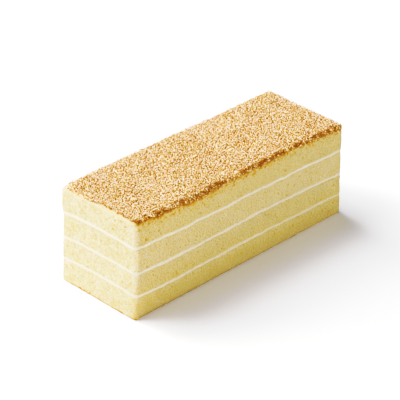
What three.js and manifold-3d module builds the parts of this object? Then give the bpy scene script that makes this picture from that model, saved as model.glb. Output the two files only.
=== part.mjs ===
import * as THREE from 'three';
import { mergeVertices } from 'three/addons/utils/BufferGeometryUtils.js';
import Module from 'manifold-3d';

// A bar of layer sponge cake: four sheets of sponge with a thin layer of cream between
// each two, and fine toasted crumbs pressed into the browned top. Units are millimetres,
// +Z is up, X runs along the bar and the origin is the middle of the flat underside.

// Driving dimensions
const length = 180; // end to end, at the top
const width = 63.6; // front to back, at the top
const height = 66; // underside to the mean level of the top
const endFlare = 1.7; // how far each end stands out at the base
const sideFlare = 0.76; // how far each long side stands out at the base
const topOverhang = 0.6; // how far the top sheet's ends stand proud of the sheets below
const cornerRadius = 2.5; // upright edges
const topEdgeRadius = 2.4; // soft edge round the top
const baseEdge = 0.7; // small soft edge round the underside

// The cream layers, from the bottom one up. The height is that of the layer's middle
// on the front long side. Each line drops towards the right end and curls up at the left
// one, with a slow ripple.
const creamThickness = 2.0;
const creamBackDrop = 0.8; // how much lower a cream layer lies at the back than in front
const creamCrown = 1.25; // how much higher it lies halfway across
const endCurlReach = 12; // how far from the left end its curl has faded to a third
const creamSwell = 0.12; // how much a layer's face strays from an even thickness
const creamSwellPace = 0.11; // ripples of that straying, in radians per millimetre
const creamLines = [
  { middle: 14.9, endDrop: 0, endCurl: 2.4, ripple: 0.6, ripples: 1, phase: 1.84 },
  { middle: 30.4, endDrop: 1.4, endCurl: 0.35, ripple: 0.54, ripples: 1, phase: 1.23 },
  { middle: 47.1, endDrop: 1.5, endCurl: 0.35, ripple: 0.2, ripples: 4.3, phase: 0.43 },
];

// The crumbed top
const bumpHeight = 0.42; // how far the bumps rise above and fall below the top's level
const bumpShift = 0.6; // how far a bump stands from its even place
const topCrumbCount = 100; // the larger crumbs that lie over the top
const frontCrumbCount = 44; // and those along the top's front edge
const crumbRadius = { smallest: 0.95, largest: 1.5 };
const crumbFlatness = 0.72; // height of a crumb over its width
const crumbUnevenness = 0.22; // share by which a crumb's corners differ
const crumbSunk = 0.35; // share of a crumb's height by which its middle lies under the surface
const crumbEndGap = 1.5; // bare rim at each end
const frontCrowding = 1.2; // above 1, the front edge's crumbs crowd towards the left end
const frontLean = { least: 20, most: 65 }; // degrees round the front edge, from the top
const bareCornerReach = 6; // no crumbs at the back corner of the left end
const bumpSeed = 41;
const crumbSeed = 1207;

// Cells of the sheets' surfaces: one narrow cell at each rounded corner, wide ones between
const wideColumns = 12;
const wideRows = 4;
const finePerWide = 6;
const edgeSteps = 3; // steps of the rounding round the top

const spongeColour = 0xe9d795;
const creamColour = 0xf6efdf;
const toastedColour = 0xd9a864;

// Repeatable random numbers from 0 to 1, by the usual linear rule
function seededRandom(seed) {
  const multiplier = 1664525;
  const increment = 1013904223;
  const modulus = 2 ** 32;
  let state = seed;
  return () => {
    state = (state * multiplier + increment) % modulus;
    return state / modulus;
  };
}

// Distances from the middle, in steps, for one side of the grid
function gridLines(size, wideCells, perWide) {
  const half = size / 2;
  const inner = size - 2 * cornerRadius;
  const cells = wideCells * perWide;
  const lines = [-half];
  for (let i = 0; i <= cells; i += 1) {
    lines.push(-half + cornerRadius + (inner * i) / cells);
  }
  lines.push(half);
  return lines;
}

// A grid of points in the plane, with the four corners drawn in to the rounded edge
function planGrid(perWide, sizeX, sizeY) {
  const columns = gridLines(sizeX, wideColumns, perWide);
  const rows = gridLines(sizeY, wideRows, perWide);
  const drawIn = cornerRadius * (1 - Math.SQRT1_2);
  const points = [];
  rows.forEach((y, row) => {
    columns.forEach((x, column) => {
      const atCorner = (column === 0 || column === columns.length - 1)
        && (row === 0 || row === rows.length - 1);
      const pull = atCorner ? drawIn : 0;
      points.push({ x: x - Math.sign(x) * pull, y: y - Math.sign(y) * pull });
    });
  });
  return { points, columns: columns.length, rows: rows.length };
}

// The grid's outer points in order, counter-clockwise from the front left corner
function outerLoop(grid) {
  const last = { column: grid.columns - 1, row: grid.rows - 1 };
  const along = Array.from({ length: last.column }, (_, i) => i);
  const across = Array.from({ length: last.row }, (_, j) => j);
  const at = (column, row) => row * grid.columns + column;
  return [
    ...along.map((i) => at(i, 0)),
    ...across.map((j) => at(last.column, j)),
    ...along.map((i) => at(last.column - i, last.row)),
    ...across.map((j) => at(0, last.row - j)),
  ];
}

// How far the sides stand out at a height, beyond the plain outline of the top
function standOut(z) {
  const below = Math.max(0, 1 - z / height);
  const { middle } = creamLines[creamLines.length - 1];
  const topSheet = THREE.MathUtils.smoothstep(z, middle - creamThickness, middle + creamThickness);
  return { x: endFlare * below + topOverhang * topSheet, y: sideFlare * below };
}

// A point of the plain outline moved out to the sides as they stand at its height
function onOutline(point, z) {
  const out = standOut(z);
  return [point.x * (1 + (2 * out.x) / length), point.y * (1 + (2 * out.y) / width), z];
}

function creamMiddle(line, x, y) {
  const along = (2 * x) / length;
  const ripple = Math.sin((2 * Math.PI * line.ripples * x) / length + line.phase + y / width);
  const curl = Math.exp(-(x + length / 2) / endCurlReach);
  const across = creamCrown * (1 - ((2 * y) / width) ** 2) - creamBackDrop * (y / width + 0.5);
  return line.middle - line.endDrop * along ** 3 + line.endCurl * curl + line.ripple * ripple + across;
}

function creamFace(line, side) {
  return (x, y) => {
    const swell = creamSwell * Math.sin(creamSwellPace * line.ripples * x + side * line.phase);
    return creamMiddle(line, x, y) + side * (creamThickness / 2) + swell;
  };
}

// Collects points and triangles of one closed body
class Shell {
  constructor() {
    this.positions = [];
    this.triangles = [];
  }

  count() {
    return this.positions.length / 3;
  }

  addPoint(position) {
    this.positions.push(...position);
    return this.count() - 1;
  }

  addQuad(a, b, c, d) {
    this.triangles.push(a, b, c, a, c, d);
  }

  // Covers a grid whose first point is given, facing up or down
  addGrid(first, grid, facesUp) {
    for (let row = 0; row < grid.rows - 1; row += 1) {
      for (let column = 0; column < grid.columns - 1; column += 1) {
        const a = first + row * grid.columns + column;
        const b = a + 1;
        const c = b + grid.columns;
        const d = a + grid.columns;
        const turned = facesUp ? [a, b, c, a, c, d] : [a, c, b, a, d, c];
        this.triangles.push(...turned);
      }
    }
  }

  // Joins a lower and an upper loop of the same number of points
  addBand(lower, upper) {
    lower.forEach((point, i) => {
      const next = (i + 1) % lower.length;
      this.addQuad(point, lower[next], upper[next], upper[i]);
    });
  }

  geometry() {
    const geometry = new THREE.BufferGeometry();
    geometry.setAttribute('position', new THREE.Float32BufferAttribute(this.positions, 3));
    geometry.setIndex(this.triangles);
    return geometry;
  }
}

// Adds one face of a sheet that follows a height over the plan, and returns its first point
function addFace(shell, grid, surface) {
  const first = shell.count();
  grid.points.forEach((point) => {
    shell.addPoint(onOutline(point, surface(point.x, point.y)));
  });
  return first;
}

// A sheet between a lower and an upper surface
function sheetGeometry(lowerSurface, upperSurface) {
  const shell = new Shell();
  const grid = planGrid(1, length, width);
  const lower = addFace(shell, grid, lowerSurface);
  const upper = addFace(shell, grid, upperSurface);
  shell.addGrid(lower, grid, false);
  shell.addGrid(upper, grid, true);
  const loop = outerLoop(grid);
  shell.addBand(loop.map((i) => lower + i), loop.map((i) => upper + i));
  return shell.geometry();
}

// The bottom sheet, with its soft edge round the flat underside
function bottomSheetGeometry(upperSurface) {
  const shell = new Shell();
  const grid = planGrid(1, length, width);
  const lower = shell.count();
  grid.points.forEach((point) => {
    const [x, y] = onOutline(point, 0);
    shell.addPoint([x * (1 - (2 * baseEdge) / length), y * (1 - (2 * baseEdge) / width), 0]);
  });
  const loop = outerLoop(grid);
  const edge = loop.map((i) => {
    const [x, y] = onOutline(grid.points[i], 0);
    return shell.addPoint([x, y, baseEdge]);
  });
  const upper = addFace(shell, grid, upperSurface);
  shell.addGrid(lower, grid, false);
  shell.addGrid(upper, grid, true);
  shell.addBand(loop.map((i) => lower + i), edge);
  shell.addBand(edge, loop.map((i) => upper + i));
  return shell.geometry();
}

// The top sheet without its larger crumbs: bumps over the top and a soft edge round it
function topSheetGeometry(lowerSurface) {
  const shell = new Shell();
  const random = seededRandom(bumpSeed);
  const coarse = planGrid(1, length, width);
  const fine = planGrid(finePerWide, length, width);
  const inset = planGrid(finePerWide, length - 2 * topEdgeRadius, width - 2 * topEdgeRadius);
  const stretch = 1 + (2 * standOut(height).x) / length;

  const lower = addFace(shell, coarse, lowerSurface);
  shell.addGrid(lower, coarse, false);

  // The rings of the soft edge, from the wall up towards the bumpy top
  const fineLoop = outerLoop(fine);
  const ringAt = (step) => fineLoop.map((i) => {
    const turn = (Math.PI / 2) * (step / edgeSteps);
    const wall = fine.points[i];
    const top = inset.points[i];
    const share = Math.cos(turn);
    const x = (top.x + (wall.x - top.x) * share) * stretch;
    const y = top.y + (wall.y - top.y) * share;
    const lift = step === 0 ? 0 : (random() - 0.5) * bumpHeight;
    const z = height - topEdgeRadius * (1 - Math.sin(turn)) + lift;
    return shell.addPoint([x, y, z]);
  });
  const rings = Array.from({ length: edgeSteps }, (_, step) => ringAt(step));
  rings.slice(1).forEach((ring, i) => shell.addBand(rings[i], ring));

  // The bumpy top
  const first = shell.count();
  const inLoop = new Set(outerLoop(inset));
  inset.points.forEach((point, i) => {
    const shift = inLoop.has(i) ? 0 : bumpShift;
    const x = point.x * stretch + (random() - 0.5) * shift;
    const y = point.y + (random() - 0.5) * shift;
    const lift = (random() - 0.5) * 2 * bumpHeight;
    shell.addPoint([x, y, height + lift]);
  });
  shell.addGrid(first, inset, true);
  shell.addBand(rings[edgeSteps - 1], outerLoop(inset).map((i) => first + i));

  // The wall, from the coarse loop below to the fine one above
  const coarseLoop = outerLoop(coarse);
  const wallTop = rings[0];
  let at = 0;
  coarseLoop.forEach((point, i) => {
    const next = coarseLoop[(i + 1) % coarseLoop.length];
    const steps = isNarrow(coarse, point, next) ? 1 : finePerWide;
    const middle = Math.floor(steps / 2);
    for (let step = 0; step < steps; step += 1) {
      const above = wallTop[(at + step) % wallTop.length];
      const aboveNext = wallTop[(at + step + 1) % wallTop.length];
      if (step === middle) {
        shell.triangles.push(lower + point, lower + next, above);
      }
      const foot = step < middle ? point : next;
      shell.triangles.push(lower + foot, aboveNext, above);
    }
    at += steps;
  });
  return shell.geometry();
}

// Whether the step from one outer point to the next lies in a narrow cell at a corner
function isNarrow(grid, from, to) {
  const a = grid.points[from];
  const b = grid.points[to];
  return Math.hypot(a.x - b.x, a.y - b.y) < 2 * cornerRadius;
}

// One crumb: a squashed lump with uneven corners
function crumbGeometry(random, radius) {
  const lump = new THREE.IcosahedronGeometry(radius, 0);
  lump.deleteAttribute('normal');
  lump.deleteAttribute('uv');
  const crumb = mergeVertices(lump);
  const position = crumb.getAttribute('position');
  const corner = new THREE.Vector3();
  for (let i = 0; i < position.count; i += 1) {
    corner.fromBufferAttribute(position, i);
    corner.multiplyScalar(1 + (random() - 0.5) * 2 * crumbUnevenness);
    position.setXYZ(i, corner.x, corner.y, corner.z * crumbFlatness);
  }
  return crumb;
}

// Where the larger crumbs lie: evenly over the top, and a row along the front edge.
// Each place has its point on the surface and the direction that the surface faces.
function crumbPlaces(random) {
  const plasticNumber = 1.32471795724475; // its powers spread points evenly over a rectangle
  const reach = { x: length / 2 - crumbEndGap, y: width / 2 - topEdgeRadius };
  const places = [];
  for (let i = 0; i < topCrumbCount; i += 1) {
    const x = (2 * ((i / plasticNumber + 0.5) % 1) - 1) * reach.x;
    const y = (2 * ((i / plasticNumber ** 2 + 0.5) % 1) - 1) * reach.y;
    if (Math.hypot(x + length / 2, y - width / 2) > bareCornerReach) {
      const point = new THREE.Vector3(x, y, height);
      places.push({ point, facing: new THREE.Vector3(0, 0, 1) });
    }
  }
  for (let i = 0; i < frontCrumbCount; i += 1) {
    const share = ((i + random()) / frontCrumbCount) ** frontCrowding;
    const lean = frontLean.least + (frontLean.most - frontLean.least) * random();
    const turn = THREE.MathUtils.degToRad(lean);
    const facing = new THREE.Vector3(0, -Math.sin(turn), Math.cos(turn));
    const centre = new THREE.Vector3((2 * share - 1) * reach.x, -reach.y, height - topEdgeRadius);
    places.push({ point: centre.addScaledVector(facing, topEdgeRadius), facing });
  }
  return places;
}

const wasm = await Module();
wasm.setup();

function toSolid(geometry) {
  return new wasm.Manifold(new wasm.Mesh({
    numProp: 3,
    vertProperties: new Float32Array(geometry.getAttribute('position').array),
    triVerts: new Uint32Array(geometry.getIndex().array),
  }));
}

function toGeometry(solid) {
  const mesh = solid.getMesh();
  const geometry = new THREE.BufferGeometry();
  geometry.setAttribute('position', new THREE.Float32BufferAttribute(mesh.vertProperties, 3));
  geometry.setIndex(Array.from(mesh.triVerts));
  return geometry;
}

// The top sheet with its larger crumbs joined on, each sunk a little into the surface
function crumbedTopGeometry(lowerSurface) {
  const random = seededRandom(crumbSeed);
  let solid = toSolid(topSheetGeometry(lowerSurface));
  const up = new THREE.Vector3(0, 0, 1);
  crumbPlaces(random).forEach(({ point, facing }) => {
    const spread = crumbRadius.largest - crumbRadius.smallest;
    const radius = crumbRadius.smallest + spread * random();
    const crumb = crumbGeometry(random, radius);
    crumb.rotateZ(2 * Math.PI * random());
    crumb.applyQuaternion(new THREE.Quaternion().setFromUnitVectors(up, facing));
    const sunk = point.clone().addScaledVector(facing, -crumbSunk * crumbFlatness * radius);
    crumb.translate(sunk.x, sunk.y, sunk.z);
    solid = solid.add(toSolid(crumb));
  });
  return toGeometry(solid);
}

function finish(colour, roughness) {
  return new THREE.MeshStandardMaterial({ color: colour, roughness, metalness: 0 });
}

const cake = new THREE.Group();

function addPiece(name, geometry, material) {
  geometry.computeVertexNormals();
  const piece = new THREE.Mesh(geometry, material);
  piece.name = name;
  cake.add(piece);
}

const sponge = finish(spongeColour, 0.95);
const cream = finish(creamColour, 0.6);
const toasted = finish(toastedColour, 0.9);

addPiece('sponge_layer_1', bottomSheetGeometry(creamFace(creamLines[0], -1)), sponge);
creamLines.forEach((line, i) => {
  addPiece(`cream_layer_${i + 1}`, sheetGeometry(creamFace(line, -1), creamFace(line, 1)), cream);
});
creamLines.slice(1).forEach((line, i) => {
  const below = creamFace(creamLines[i], 1);
  addPiece(`sponge_layer_${i + 2}`, sheetGeometry(below, creamFace(line, -1)), sponge);
});
addPiece('sponge_layer_4', crumbedTopGeometry(creamFace(creamLines[2], 1)), toasted);

export default cake;
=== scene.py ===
"""A bar of layer sponge cake: four sheets of sponge, three thin layers of cream and a
top of fine toasted crumbs, dressed over its fixed frame."""

import math
from collections import namedtuple
from functools import partial
from itertools import combinations

import bpy
import numpy as np
from mathutils import Matrix, Vector


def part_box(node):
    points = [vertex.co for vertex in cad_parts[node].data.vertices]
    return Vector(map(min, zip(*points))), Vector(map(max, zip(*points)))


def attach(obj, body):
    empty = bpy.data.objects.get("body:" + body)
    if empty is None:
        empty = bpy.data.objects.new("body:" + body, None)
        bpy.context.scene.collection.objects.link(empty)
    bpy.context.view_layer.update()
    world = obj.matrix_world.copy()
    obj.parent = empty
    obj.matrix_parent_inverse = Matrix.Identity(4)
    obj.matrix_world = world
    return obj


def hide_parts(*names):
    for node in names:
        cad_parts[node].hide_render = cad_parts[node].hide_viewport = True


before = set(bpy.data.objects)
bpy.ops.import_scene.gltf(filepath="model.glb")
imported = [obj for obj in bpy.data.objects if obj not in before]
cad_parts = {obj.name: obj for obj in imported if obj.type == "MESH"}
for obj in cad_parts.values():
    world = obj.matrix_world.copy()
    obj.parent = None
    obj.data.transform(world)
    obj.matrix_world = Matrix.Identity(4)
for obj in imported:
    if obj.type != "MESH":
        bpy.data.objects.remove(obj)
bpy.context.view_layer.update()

bl_info = {
    "name": "Layer sponge cake",
    "version": (1, 0, 0),
    "blender": (4, 5, 0),
    "location": "3D View > Sidebar > Cake",
    "description": "Builds a bar of layer sponge cake with cream and toasted crumbs",
    "category": "Add Mesh",
}

BODY = "root"
MM = 0.001

# The form of the frame's sheets and cream layers. Lengths are in metres.
END_FLARE = 1.7 * MM
SIDE_FLARE = 0.76 * MM
TOP_OVERHANG = 0.6 * MM
CORNER_RADIUS = 2.5 * MM
TOP_EDGE_RADIUS = 2.4 * MM
BASE_EDGE = 1.2 * MM
CREAM_THICKNESS = 2.0 * MM
CREAM_BACK_DROP = 0.8 * MM
CREAM_CROWN = 1.25 * MM
END_CURL_REACH = 12 * MM
CREAM_SWELL = 0.12 * MM
CREAM_SWELL_PACE = 0.11 / MM
TOP_END_DROP = 0.8 * MM  # how much lower the front of the right end lies
END_ROUNDING = 0.4 * MM  # how much the top falls at the very right end
END_ROUNDING_REACH = 7 * MM
BACK_DIP = 0.6 * MM  # how much the top falls along a part of its back edge
BACK_DIP_MIDDLE = 40 * MM
BACK_DIP_REACH = 14 * MM
LEFT_BULGE = 0.6 * MM  # how much the top sheet stands out at the back of the left end
LEFT_BULGE_DEPTH = 10 * MM  # how far below the top that bulge is full
BARE_CORNER_REACH = (7.5 * MM, 4.0 * MM)  # where the bareness of the back corner starts and is full
CREST = 0.656 * MM  # how far the tallest crumb stands above the top's mean level
CLEARANCE = 0.02 * MM  # how far inside the frame's reach the cut faces stay

BASE_LOW, BASE_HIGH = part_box("sponge_layer_1")
TOP_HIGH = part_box("sponge_layer_4")[1]
LENGTH = BASE_HIGH.x - BASE_LOW.x - 2 * END_FLARE
WIDTH = BASE_HIGH.y - BASE_LOW.y - 2 * SIDE_FLARE
HEIGHT = TOP_HIGH.z - CREST

CreamLine = namedtuple("CreamLine", "middle end_drop end_curl ripple ripples phase")
CREAM_LINES = (
    CreamLine(14.9 * MM, 0.0, 2.4 * MM, 0.6 * MM, 1.0, 1.84),
    CreamLine(30.4 * MM, 1.4 * MM, 0.35 * MM, 0.54 * MM, 1.0, 1.23),
    CreamLine(47.1 * MM, 1.5 * MM, 0.35 * MM, 0.2 * MM, 4.3, 0.43),
)

# Larger air holes that show in the cut faces: where along the face, how high, how big
# and how many times as long as high
AirHole = namedtuple("AirHole", "along height radius stretch")
FRONT_HOLES = (
    AirHole(-80.3 * MM, 52.2 * MM, 1.1 * MM, 1.3),
    AirHole(-79.0 * MM, 58.4 * MM, 0.7 * MM, 1.0),
    AirHole(-80.5 * MM, 33.7 * MM, 0.7 * MM, 1.2),
    AirHole(-74.9 * MM, 25.7 * MM, 0.8 * MM, 1.0),
    AirHole(-48.0 * MM, 20.3 * MM, 0.8 * MM, 1.4),
    AirHole(-17.7 * MM, 19.4 * MM, 0.7 * MM, 1.2),
    AirHole(31.0 * MM, 20.6 * MM, 0.7 * MM, 1.0),
    AirHole(45.4 * MM, 8.8 * MM, 0.8 * MM, 1.2),
    AirHole(83.0 * MM, 23.1 * MM, 0.9 * MM, 1.0),
)
LEFT_HOLES = (
    AirHole(-13.6 * MM, 55.2 * MM, 0.8 * MM, 1.0),
    AirHole(-5.8 * MM, 51.9 * MM, 0.6 * MM, 1.3),
    AirHole(-22.6 * MM, 52.0 * MM, 0.7 * MM, 1.0),
    AirHole(-25.2 * MM, 57.5 * MM, 0.6 * MM, 1.0),
    AirHole(26.1 * MM, 26.0 * MM, 0.6 * MM, 1.4),
    AirHole(-27.6 * MM, 47.3 * MM, 0.5 * MM, 4.0),
)


def colour_property(name, description, default):
    """A colour that the panel shows and lets change."""
    return bpy.props.FloatVectorProperty(
        name=name, description=description, subtype="COLOR", size=3, default=default
    )


class CakeSizes(bpy.types.PropertyGroup):
    """Sizes of the sponge's grain and of the crumbs."""

    mesh_step: bpy.props.FloatProperty(
        name="Mesh step",
        description="Distance between neighbouring points of the cut faces",
        default=0.38 * MM,
        unit="LENGTH",
    )
    pore_radius: bpy.props.FloatVectorProperty(
        name="Pore radius",
        description="Smallest and largest radius of the sponge's common pores",
        size=2,
        default=(0.4 * MM, 0.8 * MM),
        unit="LENGTH",
    )
    pores_per_square_mm: bpy.props.FloatProperty(
        name="Pores per square millimetre",
        description="How many of those pores a cut face shows",
        default=0.03,
    )
    crumb_radius: bpy.props.FloatVectorProperty(
        name="Crumb radius",
        description="Smallest and largest radius of the toasted crumbs",
        size=2,
        default=(0.36 * MM, 0.67 * MM),
        unit="LENGTH",
    )
    crumb_pitch: bpy.props.FloatProperty(
        name="Crumb pitch",
        description="Distance between neighbouring crumbs of the lower layer",
        default=0.86 * MM,
        unit="LENGTH",
    )


class CakeColours(bpy.types.PropertyGroup):
    """Colours of the cake's parts, without the light on them, except the painted contact shadow and the
    pores' painted shade.
    """

    sponge: colour_property("Sponge", "Cut face of the sponge", (0.675, 0.55, 0.335))
    # Deeper tone of the sponge's grain, and painted shade inside its pores
    sponge_deep_and_pore_shade: colour_property("Deep grain and pore shade", "Inside the sponge's pores", (0.50, 0.355, 0.145))
    cream: colour_property("Cream", "Cream between the sheets", (0.67, 0.575, 0.37))
    cream_deep: colour_property("Thin cream", "Cream where it is thin", (0.64, 0.55, 0.33))
    # Painted contact shadow: the shade where the sponge meets the plate, painted as a colour
    contact_shadow_colour: colour_property("Painted contact shadow", "Sponge where it meets the plate", (0.29, 0.21, 0.125))
    skin_light: colour_property("Light skin", "Baked skin, just golden", (0.53, 0.28, 0.06))
    skin_dark: colour_property("Dark skin", "Baked skin, well browned", (0.26, 0.07, 0.008))
    crumb_pale: colour_property("Pale crumbs", "Hardly toasted", (0.99, 0.66, 0.375))
    crumb_golden: colour_property("Golden crumbs", "Toasted golden", (0.66, 0.365, 0.155))
    crumb_brown: colour_property("Brown crumbs", "Toasted brown", (0.21, 0.028, 0.001))


# Noise and other small helpers


def smoothstep(low, high, value):
    """Rises smoothly from 0 at low to 1 at high, which may be the smaller of the two."""
    share = np.clip((value - low) / (high - low), 0, 1)
    return share * share * (3 - 2 * share)


# Large odd numbers and shifts that mix a cell's place and a seed without a pattern
CELL_FACTORS = np.array([374761393, 668265263, 2147483647], np.uint64)
SEED_FACTOR = 2654435761
MIXING_FACTOR = 1274126177
MIXING_SHIFTS = (13, 16)
KEPT_BITS = 24


def lattice_values(cells, seed):
    """One repeatable number from -1 to 1 for each whole-number cell."""
    mixed = (cells.astype(np.int64).astype(np.uint64) * CELL_FACTORS).sum(axis=-1, dtype=np.uint64)
    mixed += np.uint64(seed * SEED_FACTOR)
    mixed ^= mixed >> np.uint64(MIXING_SHIFTS[0])
    mixed *= np.uint64(MIXING_FACTOR)
    mixed ^= mixed >> np.uint64(MIXING_SHIFTS[1])
    return (mixed & np.uint64(2**KEPT_BITS - 1)).astype(float) / 2 ** (KEPT_BITS - 1) - 1


def smooth_noise(points, cell, seed):
    """Smooth noise from -1 to 1 at points in space, with bumps of about one cell."""
    scaled = points / cell
    base = np.floor(scaled)
    part = scaled - base
    part = part * part * (3 - 2 * part)
    total = np.zeros(points.shape[:-1])
    for corner in np.ndindex(2, 2, 2):
        offset = np.array(corner)
        weight = np.where(offset == 1, part, 1 - part).prod(axis=-1)
        total += weight * lattice_values(base + offset, seed)
    return total


def in_space(x, y, z):
    """Joins coordinates, each an array or a number, into points."""
    return np.stack(np.broadcast_arrays(x, y, z), axis=-1)


def hump(x, middle, reach):
    """A soft hump of height 1."""
    return np.exp(-((x - middle) / reach) ** 2)


# Unevenness: how strong it is, how big its bumps are and the seed of its noise
Wave = namedtuple("Wave", "height cell seed")


def unevenness(places, wave, more_seed=0):
    """The height of a wave at points in space."""
    return wave.height * smooth_noise(places, wave.cell, wave.seed + more_seed)


# The form that the visible pieces share with the frame


def stand_out(z):
    """How far the ends and the long sides stand out at a height."""
    below = np.clip(1 - z / HEIGHT, 0, None)
    middle = CREAM_LINES[-1].middle
    top_sheet = smoothstep(middle - CREAM_THICKNESS, middle + CREAM_THICKNESS, z)
    return END_FLARE * below + TOP_OVERHANG * top_sheet, SIDE_FLARE * below


def on_outline(x, y, z):
    """A point of the plain outline, moved out to the sides as they stand at its height."""
    out_x, out_y = stand_out(z)
    top_sheet = smoothstep(CREAM_LINES[-1].middle, HEIGHT - LEFT_BULGE_DEPTH, z)
    out_x = out_x + LEFT_BULGE * top_sheet * smoothstep(0, WIDTH / 2, y) * (x < 0)
    return in_space(x * (1 + 2 * out_x / LENGTH), y * (1 + 2 * out_y / WIDTH), z)


def cream_face(number, side, x, y):
    """Height of a cream layer's lower (side -1) or upper (side 1) face."""
    line = CREAM_LINES[number]
    along = 2 * x / LENGTH
    ripple = np.sin(2 * math.pi * line.ripples * x / LENGTH + line.phase + y / WIDTH)
    middle = line.middle - line.end_drop * along**3 + line.ripple * ripple
    middle = middle + line.end_curl * np.exp(-(x + LENGTH / 2) / END_CURL_REACH)
    middle = middle + CREAM_CROWN * (1 - (2 * y / WIDTH) ** 2) - CREAM_BACK_DROP * (y / WIDTH + 0.5)
    swell = CREAM_SWELL * np.sin(CREAM_SWELL_PACE * line.ripples * x + side * line.phase)
    return middle + side * CREAM_THICKNESS / 2 + swell


EDGE_WANDER = Wave(0.3 * MM, 8 * MM, 110)
EDGE_SMEARS = Wave(0.22 * MM, 2.3 * MM, 2)
EDGE_TEETH = Wave(0.14 * MM, 0.9 * MM, 52)
BASE_CREAM_LOSS = 0.28 * MM  # how much less of the lowest cream shows at either face at the right
BASE_CREAM_LOSS_REACH = (10 * MM, 80 * MM)


def cut_edge(number, side, x, y):
    """The same height at the cut face, where crumbs and smears make it uneven."""
    z = cream_face(number, side, x, y)
    places = in_space(x, y, z)
    more_seed = 10 * number + side
    smears = unevenness(places, EDGE_SMEARS, more_seed)
    if number == 0:
        smears = smears - side * BASE_CREAM_LOSS * smoothstep(*BASE_CREAM_LOSS_REACH, x)
    wander = unevenness(places, EDGE_WANDER, number)
    return z + wander + smears + unevenness(places, EDGE_TEETH, more_seed)


def bare_corner(x, y):
    """1 at the bare back corner of the left end, and 0 where the crumbs begin."""
    away = np.hypot(x + LENGTH / 2, y - WIDTH / 2)
    return smoothstep(*BARE_CORNER_REACH, away)


def droop(x, y):
    """How much lower the top lies towards the front of the right end, at that end and in a
    dip at the back."""
    slope = TOP_END_DROP * smoothstep(0, LENGTH / 2, x) * (0.5 - y / WIDTH)
    dip = BACK_DIP * hump(x, BACK_DIP_MIDDLE, BACK_DIP_REACH) * smoothstep(0, WIDTH / 2, y)
    return slope + dip + END_ROUNDING * smoothstep(LENGTH / 2 - END_ROUNDING_REACH, LENGTH / 2, x)


class Outline:
    """A rounded rectangle as points with outward directions. It runs counter-clockwise in
    four sides, front, right, back and left, and each starts in the middle of a corner."""

    ARC_STEPS = 4  # steps of half a corner

    def __init__(self, half_x, half_y, long_steps, short_steps):
        self.points = []
        self.facing = []
        self.starts = []
        reach = (half_x - CORNER_RADIUS, half_y - CORNER_RADIUS)
        corners = ((-1, -1), (1, -1), (1, 1), (-1, 1))
        for side in range(4):
            self.starts.append(len(self.points))
            start = np.array(corners[side]) * reach
            end = np.array(corners[(side + 1) % 4]) * reach
            straight = long_steps if side % 2 == 0 else short_steps
            square_on = math.radians(-90 + 90 * side)
            for i in range(self.ARC_STEPS):
                self._add(start, square_on - math.radians(45) * (1 - i / self.ARC_STEPS))
            for i in range(straight):
                self._add(start + (end - start) * i / straight, square_on)
            for i in range(self.ARC_STEPS):
                self._add(end, square_on + math.radians(45) * i / self.ARC_STEPS)
        self.points = np.array(self.points)
        self.facing = np.array(self.facing)
        gaps = np.linalg.norm(np.roll(self.points, -1, axis=0) - self.points, axis=1)
        self.run = np.concatenate([[0], np.cumsum(gaps)])
        self.bounds = self.starts + [len(self.points)]

    def _add(self, centre, angle):
        facing = np.array([math.cos(angle), math.sin(angle)])
        self.points.append(centre + CORNER_RADIUS * facing)
        self.facing.append(facing)

    def shares(self):
        """Place round the outline of each point, from 0 to 4, one for each side."""
        places = []
        for side in range(4):
            run = self.run[self.bounds[side]:self.bounds[side + 1] + 1]
            places.append(side + (run[:-1] - run[0]) / (run[-1] - run[0]))
        return np.concatenate(places)


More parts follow.
